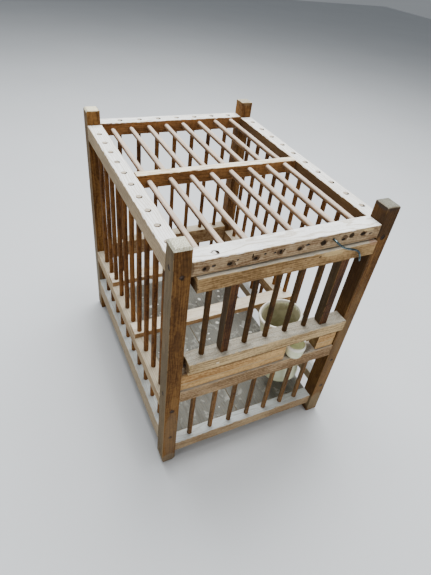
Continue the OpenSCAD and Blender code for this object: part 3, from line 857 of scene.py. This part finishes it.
BLEACHED, SHADED = srgb(176, 164, 138), srgb(84, 62, 38)
TOP_RAILS = {
    "rail_top_front": ("X", (3, 26, 0), srgb(194, 168, 132), srgb(118, 88, 60), None),
    "rail_top_back": ("X", (-9, 22, 0), srgb(150, 104, 60), srgb(98, 62, 32), None),
    "rail_top_left": ("Y", (18, 16, 0), PALE_LIGHT, PALE_DARK, ((-1, 0, 0), 0.8, BLEACHED)),
    "rail_top_right": ("Y", (-14, 19, 0), srgb(150, 116, 76), srgb(96, 68, 42), ((-1, 0, 0), 0.8, SHADED)),
    "rail_top_cross": ("X", (2, 24, 0), srgb(158, 112, 64), srgb(104, 68, 36), None),
}
FRONT_GOUGES = [  # torn wood beside the bar ends in the front rail: x, z and half sizes
    (27.6, 294.6, 1.9, 1.6), (36.0, 296.2, 1.9, 1.3), (50.6, 295.0, 2.6, 1.5), (57.9, 297.4, 1.2, 0.9),
    (56.0, 293.4, 0.8, 1.1), (72.2, 298.4, 0.8, 2.6), (75.4, 295.4, 1.9, 1.5), (84.4, 298.2, 1.5, 0.9),
    (94.2, 297.4, 1.7, 0.9), (100.4, 297.0, 1.5, 2.0), (103.8, 298.9, 1.3, 0.8), (120.6, 296.2, 2.4, 1.6),
    (128.6, 299.2, 2.6, 1.2), (146.2, 297.6, 3.2, 3.0), (169.4, 297.4, 2.2, 1.3), (178.4, 300.4, 3.1, 3.2),
    (192.2, 299.8, 3.1, 1.8), (201.9, 298.6, 2.6, 0.7),
]
FRONT_ENDS = [(29, 294.5), (52, 295.1), (75.8, 295.4), (100, 297), (121.3, 297), (147, 298), (170.5, 299), (193, 300)]
front_cutters = [
    blob(((x - OX) * MM, -OY * MM, z * MM), (a * MM, 1.5 * MM, b * MM), k * 1.9, 0.4)
    for k, (x, z, a, b) in enumerate(FRONT_GOUGES)
]
# Dark marks at the bar ends: dark end grain, and painted shade in the recesses around them.
front_marks = [((x, 0, z), (4.6, 6, 3.6), srgb(66, 44, 28), 0.75, 0.0) for x, z in FRONT_ENDS]
front_marks += [((x + 5.2, 0, z - 1.6), (2.4, 4, 1.7), srgb(214, 186, 150), 0.6, 0.0) for x, z in FRONT_ENDS]
front_marks += [
    ((197, 0, 303.6), (8, 3, 1.6), STRAW, 0.7, 0.0),
    ((39.2, 7.75, 304.8), (4.6, 3.2, 3), srgb(84, 74, 60), 0.85, 0.66),
    ((15, 0, 297), (4, 6, 9), srgb(70, 48, 30), 0.6, 0.0),
]
for i, (node, (axis, pith, light, dark, side)) in enumerate(TOP_RAILS.items()):
    top = (CREAM_UP, srgb(216, 194, 160)) if node == "rail_top_cross" else (WHITE_UP, WHITE_UP_DARK)
    look = wood("wood_" + node, axis, middle(node), pith, light, dark, *top, 0.96, side, 0.8, lines=0.85,
                edge=srgb(206, 176, 132), edge_share=0.7,
                marks=front_marks if node == "rail_top_front" else ())
    worn(node, look, 21.3 + i * 4.1, bevel=0.4, wear=0.3, chip=0.9,
         cutters=front_cutters if node == "rail_top_front" else (),
         shows=lambda radius, normal: normal.z > 0.9)

SIDE_RAILS = {
    "rail_mid_left": ("Y", (10, 20, 0), ((-1, 0, 0), 0.7, srgb(170, 154, 126))),
    "rail_mid_right": ("Y", (-12, 17, 0), ((-1, 0, 0), 0.5, srgb(110, 84, 54))),
    "rail_mid_back": ("X", (6, 25, 0), None),
}
for i, (node, (axis, pith, side)) in enumerate(SIDE_RAILS.items()):
    look = wood("wood_" + node, axis, middle(node), pith, BROWN_LIGHT, BROWN_DARK,
                srgb(206, 196, 174), srgb(150, 134, 108), 0.85, side, 0.8,
                edge=srgb(206, 180, 140), edge_share=0.6)
    worn(node, look, 41.3 + i * 4.1, bevel=0.4, wear=0.35, chip=0.9)

look = wood("wood_rail_mid_front", "X", middle("rail_mid_front"), (4, 21, 0),
            srgb(192, 162, 124), srgb(122, 94, 64), GREY_UP, GREY_UP_DARK, 0.8,
            contrast=1.25, edge=srgb(222, 194, 156), edge_share=0.6,
            # The mark at x 166 is painted shadow on the rail's top in the slot under the bowl.
            marks=[((166, 9, 136), (25, 10, 3), srgb(58, 46, 34), 0.75, 0.0)])
worn("rail_mid_front", look, 53.7, bevel=0.4, wear=0.4, chip=1.2)

LOW_RAILS = {
    "rail_low_front": ("X", (5, 18, 0)),
    "rail_low_back": ("X", (-7, 20, 0)),
    "rail_low_left": ("Y", (13, 16, 0)),
    "rail_low_right": ("Y", (-13, 18, 0)),
}
for i, (node, (axis, pith)) in enumerate(LOW_RAILS.items()):
    look = wood("wood_" + node, axis, middle(node), pith, srgb(188, 162, 126), srgb(138, 112, 82),
                DUST_UP, DUST_UP_DARK, 0.92, ((-1, 0, 0), 0.75, srgb(160, 148, 126)), 0.84,
                edge=srgb(206, 186, 154), edge_share=0.6)
    worn(node, look, 61.9 + i * 3.7, bevel=0.4, wear=0.35, chip=0.9)

sill_marks = [
    # The first two marks are painted shadow along the sill's top, under the door's bottom rail.
    ((82, 1, 162), (95, 6, 7.5), srgb(88, 60, 34), 0.75, 0.0),
    ((200, 1, 162), (22, 6, 7), srgb(88, 60, 34), 0.75, 0.0),
    ((60, 0, 147), (60, 3, 1.5), srgb(150, 104, 58), 0.6, 0.0),
]
for i, node in enumerate(("sill_left", "sill_right")):
    # The sills' faces turned to -X take the dark side colour: painted shade at their ends.
    look = wood("wood_" + node, "X", middle(node), (7, 24, 0), WARM_LIGHT, WARM_DARK,
                GREY_UP, GREY_UP_DARK, 0.8, ((-1, 0, 0), 0.9, SOOT_AND_SHADE), contrast=0.8, edge=srgb(224, 196, 150),
                edge_share=0.6, marks=sill_marks)
    worn(node, look, 71.3 + i * 3.1, bevel=0.4, wear=0.3, chip=0.8)

for i, node in enumerate(("floor_left", "floor_right")):
    look = wood("wood_" + node, "Y", middle(node), (3, 28, 0), srgb(170, 146, 114), srgb(112, 88, 62),
                srgb(120, 123, 118), srgb(96, 93, 84), 0.9, rough=0.88, lines=0.2,
                spots=(0.5, srgb(206, 206, 196)), edge=srgb(170, 156, 130))
    worn(node, look, 77.3 + i * 3.1, bevel=0.35, wear=0.25, chip=0.8)

for i, node in enumerate(("slat_near", "slat_far")):
    look = wood("wood_" + node, "X", middle(node), (-5, 19, 0), srgb(190, 152, 108), srgb(134, 98, 62),
                CREAM_UP, CREAM_UP_DARK, 0.94, ((-1, 0, 0), 0.6, srgb(190, 168, 132)), 0.78,
                edge=srgb(240, 222, 184), edge_share=0.7)
    worn(node, look, 83.3 + i * 3.1, bevel=0.35, wear=0.35, chip=1.0)

# ---------------------------------------------------------------- door

DOOR_MARKS = {
    "door_rail_top": [
        ((160, -5, 286), (17, 4, 5), STRAW, 0.6, 0.0), ((145, -5, 284), (2.4, 3, 1.8), SOOT_AND_SHADE, 0.85, 0.0),
        ((128, -5, 283.5), (1.5, 3, 1.2), SOOT_AND_SHADE, 0.7, 0.0), ((208, -5, 290), (7, 9, 5), srgb(176, 132, 104), 0.6, 0.0),
        # The mark at x 20.5 darkens the rail's left end: dark end grain, and painted shade in the gap by the post.
        ((70, -5, 272), (26, 4, 4), srgb(104, 76, 50), 0.5, 0.0), ((20.5, 4, 276), (2.4, 12, 9), SOOT_AND_SHADE, 0.7, 0.0),
        ((110, -5, 277), (9, 4, 4), srgb(196, 164, 122), 0.45, 0.0),
    ],
    "door_rail_bottom": [
        # The mark at x 20.5 darkens the rail's left end: dark end grain, and painted shade in the gap by the post.
        ((20.5, 4, 174), (2.6, 12, 9), srgb(70, 50, 32), 0.75, 0.0),
        ((52, -5, 174), (2, 3, 1.2), srgb(240, 226, 196), 0.8, 0.0),
        ((120, -5, 167), (100, 3, 2.2), srgb(96, 72, 48), 0.6, 0.0),
        ((64, 8, 182), (9, 6, 3), srgb(120, 112, 98), 0.6, 0.0), ((186, 8, 182), (9, 6, 3), srgb(120, 112, 98), 0.6, 0.0),
    ],
}
for node, pith, light, dark, seed in (
    ("door_rail_top", (2, 17, 0), srgb(195, 160, 111), srgb(122, 92, 56), 91.1),
    ("door_rail_bottom", (-4, 19, 0), srgb(221, 192, 144), srgb(141, 113, 76), 95.7),
):
    look = wood("wood_" + node, "X", middle(node), pith, light, dark,
                srgb(200, 196, 182), srgb(146, 136, 116), 0.88,
                edge=srgb(226, 200, 156), edge_share=0.65, marks=DOOR_MARKS[node],
                end=srgb(120, 118, 110) if node == "door_rail_bottom" else None)
    worn(node, look, seed, bevel=0.45, wear=0.4, chip=1.2)

for i, node in enumerate(("door_stile_left", "door_stile_right")):
    look = wood("wood_" + node, "Z", middle(node), (9, -8, 0), srgb(104, 66, 34), srgb(50, 28, 12),
                srgb(150, 130, 100), srgb(90, 66, 42), 0.5,
                ((-1, 0, 0), 0.8, srgb(84, 72, 50)), 0.66,
                edge=srgb(150, 112, 70), edge_share=0.6)
    worn(node, look, 101.3 + i * 3.1, bevel=0.4, wear=0.3, chip=0.15, short=1.5)

door_bars = [f"door_bar_{k}" for k in range(1, 6)]
look = wood("wood_door_bars", "Z", middle("door_bar_3"), (6, 5, 0), BAR_LIGHT, BAR_DARK,
            srgb(140, 112, 74), srgb(90, 64, 36), 0.4, ((-1, 0, 0), 0.3, srgb(92, 76, 50)), 0.66)
bars("door_bars_wood", door_bars, look, 5.0, foot=0.82, head=0.95)

# ---------------------------------------------------------------- bars

top_names = [f"bar_top_{k}" for k in range(1, 9)]
look = wood("wood_top_bars", "Y", middle("bar_top_4"), (5, 9, 0), srgb(140, 108, 76), srgb(84, 60, 38),
            srgb(224, 208, 192), srgb(172, 146, 124), 0.92, rough=0.74, contrast=0.9)
bars("top_bars_wood", top_names, look, 11.0, foot=0.95, head=0.9, taper=7.0, start=2.0)

front_names = [f"bar_front_{k}" for k in range(1, 8)]
look = wood("wood_front_bars", "Z", middle("bar_front_4"), (6, -5, 0), srgb(136, 98, 58), srgb(72, 46, 24),
            srgb(150, 126, 92), srgb(100, 76, 48), 0.5, ((-1, 0, 0), 0.4, srgb(140, 122, 96)), 0.7)
bars("front_bars_wood", front_names, look, 19.0, foot=0.85, head=0.9)

SIDE_BARS = {"bars_left": (31.0, "Z"), "bars_right": (37.0, "Z"), "bars_back": (43.0, "Z")}
for node, (seed, axis) in SIDE_BARS.items():
    look = wood("wood_" + node, axis, middle(node), (7, 6, 0), srgb(134, 88, 42), srgb(72, 42, 16),
                srgb(210, 200, 182), srgb(150, 132, 108), 0.8, ((-1, 0, 0), 0.2, srgb(112, 82, 44)), 0.68)
    bars(node + "_wood", [node], look, seed, foot=0.9, head=1.0, recess=0.25)

# ---------------------------------------------------------------- peg

look = wood("wood_peg_front", "Z", middle("peg_front"), (1, 1, 0), PALE_LIGHT, PALE_DARK,
            WHITE_UP, WHITE_UP_DARK, 0.9)
bars("peg_front_wood", ["peg_front"], look, 71.0, taper=1.0)

# ---------------------------------------------------------------- metal


def metal(name, light, dark, rough, metallic, rust=None):
    m, net, shader = new_material(name)
    place = net.make("ShaderNodeTexCoord", out=3)
    cloud = net.noise(place, 260.0, 4.0, 0.6)
    fine = net.noise(place, 1400.0, 3.0, 0.6)
    colour = net.mix(net.span(cloud, 0.35, 0.65), light, dark)
    if rust:
        colour = net.mix(net.span(fine, 0.5, 0.68, 0.0, 0.8), colour, rust)
    link(net, colour, shader, "Base Color")
    link(net, net.span(cloud, 0.3, 0.7, rough - 0.1, rough + 0.12), shader, "Roughness")
    bump = net.make("ShaderNodeBump", {"Strength": 0.3, "Distance": 0.0001, "Height": fine})
    link(net, bump, shader, "Normal")
    shader.inputs["Metallic"].default_value = metallic
    return m


iron = metal("old_iron", srgb(92, 78, 68), srgb(46, 38, 34), 0.6, 0.75, srgb(84, 50, 30))
for node in ("frame_nails", "door_pins"):
    nodes[node].data.materials.clear()
    nodes[node].data.materials.append(iron)

HOOK_ROUTE = [  # in millimetres from the middle of the hole in the front rail
    (0, 11, 0), (0, 4, 0), (0, -2.4, 0), (0, -3.9, 0), (0.5, -5.1, -0.3), (1.8, -5.7, -1.4),
    (4.5, -5.9, -3.6), (9, -5.9, -6.8), (14, -5.9, -9.3), (20, -5.9, -11.3), (26, -5.9, -13.2),
    (30.4, -5.9, -15.6), (33.6, -5.9, -19.2), (35.8, -5.9, -23.8), (37.2, -5.8, -28.6),
]


def spline(points, steps):
    """Catmull-Rom through the points, with its tangents."""
    pts = [points[0] * 2 - points[1], *points, points[-1] * 2 - points[-2]]
    out = []
    for i in range(1, len(pts) - 2):
        a, b, c, d = pts[i - 1:i + 3]
        for k in range(steps):
            t = k / steps
            out.append(0.5 * (2 * b + (c - a) * t + (2 * a - 5 * b + 4 * c - d) * t * t
                              + (3 * b - a - 3 * c + d) * t ** 3))
    out.append(points[-1].copy())
    return out


def swept_wire(name, points, radius, sides=16):
    bm = bmesh.new()
    frame_side = None
    rings = []
    for i, p in enumerate(points):
        d = (points[min(i + 1, len(points) - 1)] - points[max(i - 1, 0)]).normalized()
        if frame_side is None:
            frame_side = d.cross(Vector((0, 0, 1))).normalized()
        frame_side = (frame_side - d * d.dot(frame_side)).normalized()
        other = d.cross(frame_side)
        left = len(points) - 1 - i
        k = 0.96 + 0.02 * noise.noise(p * 300)
        if left < 4:
            k *= (0.62, 0.86, 0.96, 1.0)[left]
        ring = []
        for j in range(sides):
            a = 2 * math.pi * j / sides
            flat = 1.0 + 0.02 * noise.noise(Vector((a, i * 0.3, 4)))
            ring.append(bm.verts.new(p + (frame_side * math.cos(a) + other * math.sin(a)) * radius * k * flat))
        rings.append(ring)
    for one, two in zip(rings, rings[1:]):
        for j in range(sides):
            m = (j + 1) % sides
            bm.faces.new((one[j], one[m], two[m], two[j]))
    bm.faces.new(rings[0][::-1])
    bm.faces.new(rings[-1])
    bmesh.ops.recalc_face_normals(bm, faces=bm.faces[:])
    mesh = bpy.data.meshes.new(name)
    bm.to_mesh(mesh)
    bm.free()
    return mesh


hook_low, hook_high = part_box("hook")
wire_r = 1.1 * MM
root = Vector((hook_low.x + wire_r, hook_high.y - 10.9 * MM, hook_high.z - wire_r))
route = spline([root + Vector(p) * MM for p in HOOK_ROUTE], 6)
steel = metal("wire_steel", srgb(98, 120, 126), srgb(42, 56, 62), 0.36, 0.9, srgb(46, 42, 38))
wire = swept_wire("hook_wire", route, wire_r)
held_inside(wire, "hook")
finish_shading(publish("hook_wire", wire, ["hook"], steel), 60)

# ---------------------------------------------------------------- feeder


def glaze():
    m, net, shader = new_material("glazed_stoneware")
    place = net.make("ShaderNodeTexCoord", out=3)
    inside = net.make("ShaderNodeAttribute", out=2, attribute_name="inside")
    rim = net.make("ShaderNodeAttribute", out=2, attribute_name="rim")
    cloud = net.noise(place, 55.0, 3.0, 0.55)
    fine = net.noise(place, 900.0, 3.0, 0.6)
    body = net.mix(net.span(cloud, 0.35, 0.65), srgb(246, 250, 218), srgb(226, 232, 188))
    body = net.mix(rim, body, srgb(252, 250, 234))
    hollow = net.mix(net.span(cloud, 0.35, 0.65), srgb(206, 202, 172), srgb(166, 160, 130))
    colour = net.mix(inside, body, hollow)
    colour = net.mix(net.span(fine, 0.64, 0.72, 0.0, 0.35), colour, srgb(120, 104, 74))
    link(net, colour, shader, "Base Color")
    link(net, net.span(cloud, 0.3, 0.7, 0.16, 0.30), shader, "Roughness")
    bump = net.make("ShaderNodeBump", {"Strength": 0.12, "Distance": 0.0003, "Height": cloud})
    link(net, bump, shader, "Normal")
    shader.inputs["Coat Weight"].default_value = 0.4
    shader.inputs["Coat Roughness"].default_value = 0.12
    return m


CUP_TOP = Vector((0.0479, -0.10417, 0.161))
CUP_TURN = Matrix.Rotation(math.radians(-9.5), 3, "Y") @ Matrix.Rotation(math.radians(-4.6), 3, "X")
BOWL = Vector((0.0434, -0.14857, 0.1364))


def soft_copy(node, voxel, smooth):
    """The CAD node's shape with the soft edges of thick glaze."""
    bm = clean_copy(node)
    bmesh.ops.triangulate(bm, faces=bm.faces[:])
    mesh = bpy.data.meshes.new("soft")
    bm.to_mesh(mesh)
    bm.free()
    o = bpy.data.objects.new("soft", mesh)
    scene.collection.objects.link(o)
    remesh = o.modifiers.new("remesh", "REMESH")
    remesh.mode, remesh.voxel_size = "VOXEL", voxel * MM
    ease = o.modifiers.new("ease", "SMOOTH")
    ease.factor, ease.iterations = 0.5, smooth
    fewer = o.modifiers.new("fewer", "DECIMATE")
    fewer.ratio = 0.35
    out = evaluated(o)
    bpy.data.objects.remove(o)
    return out


cup = soft_copy("feeder_cup", 0.65, 5)
inside, rim = [], []
axis_up = CUP_TURN @ Vector((0, 0, 1))
for v in cup.vertices:
    q = v.co - CUP_TOP
    h = q.dot(axis_up)
    r = (q - axis_up * h).length
    b = v.co - BOWL
    br = math.hypot(b.x, b.y)
    in_cup = 1.0 if r < 0.0228 and h > -0.0985 and not (br < 0.0125 and b.y < 0.014) else 0.0
    in_bowl = 1.0 if br < 0.0097 and b.z > 0.002 and v.co.y < -0.1375 else 0.0
    inside.append(max(in_cup, in_bowl * 0.2))
    on_rim = 1.0 if h > -0.0035 and r > 0.02 else 0.0
    bowl_rim = 1.0 if b.z > 0.0150 and br < 0.0125 and not in_bowl else 0.0
    rim.append(max(on_rim, bowl_rim))
for n, values in (("inside", inside), ("rim", rim)):
    cup.attributes.new(n, "FLOAT", "POINT").data.foreach_set("value", values)
held_inside(cup, "feeder_cup")
cup_piece = publish("feeder_glazed", cup, ["feeder_cup"], glaze())
cup_piece.data.polygons.foreach_set("use_smooth", [True] * len(cup.polygons))

# ---------------------------------------------------------------- droppings on the floor

random.seed(11)
floor_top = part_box("floor_right")[1].z
floor_low, floor_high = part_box("floor_left")[0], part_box("floor_right")[1]
blobs = []
for k in range(70):
    row = random.choice(("slat_near", "slat_far", "slat_near", None))
    x = random.uniform(floor_low.x + 0.02, floor_high.x - 0.02)
    if row:
        y = middle(row).y + random.gauss(0, 0.016)
    else:
        y = random.uniform(floor_low.y + 0.01, floor_high.y - 0.01)
    size = random.choice((0.9, 1.2, 1.6, 2.4, 3.4)) * MM
    blobs.append(blob((x, y, floor_top), (size * random.uniform(0.7, 1.5), size, 0.35 * MM), k * 1.3, 0.7, 1))
m, net, shader = new_material("dropping")
place = net.make("ShaderNodeTexCoord", out=3)
speck = net.noise(place, 700.0, 3.0)
link(net, net.mix(net.span(speck, 0.45, 0.7), srgb(228, 228, 220), srgb(160, 150, 128)), shader, "Base Color")
shader.inputs["Roughness"].default_value = 0.9
spatter = bpy.data.objects.new("floor_droppings", joined(blobs))
spatter.data.materials.append(m)
scene.collection.objects.link(spatter)
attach(spatter, "frame")

# ---------------------------------------------------------------- stage

bm = bmesh.new()
bmesh.ops.create_grid(bm, x_segments=2, y_segments=2, size=4.0)
mesh = bpy.data.meshes.new("floor")
bm.to_mesh(mesh)
bm.free()
stage = bpy.data.objects.new("stage_floor", mesh)
scene.collection.objects.link(stage)
m, net, shader = new_material("stage")
cloud = net.noise(net.make("ShaderNodeTexCoord", out=3), 3.0, 2.0)
link(net, net.mix(cloud, (0.60, 0.61, 0.62, 1), (0.66, 0.67, 0.68, 1)), shader, "Base Color")
shader.inputs["Roughness"].default_value = 0.9
stage.data.materials.append(m)
stage.location.z = -0.0002
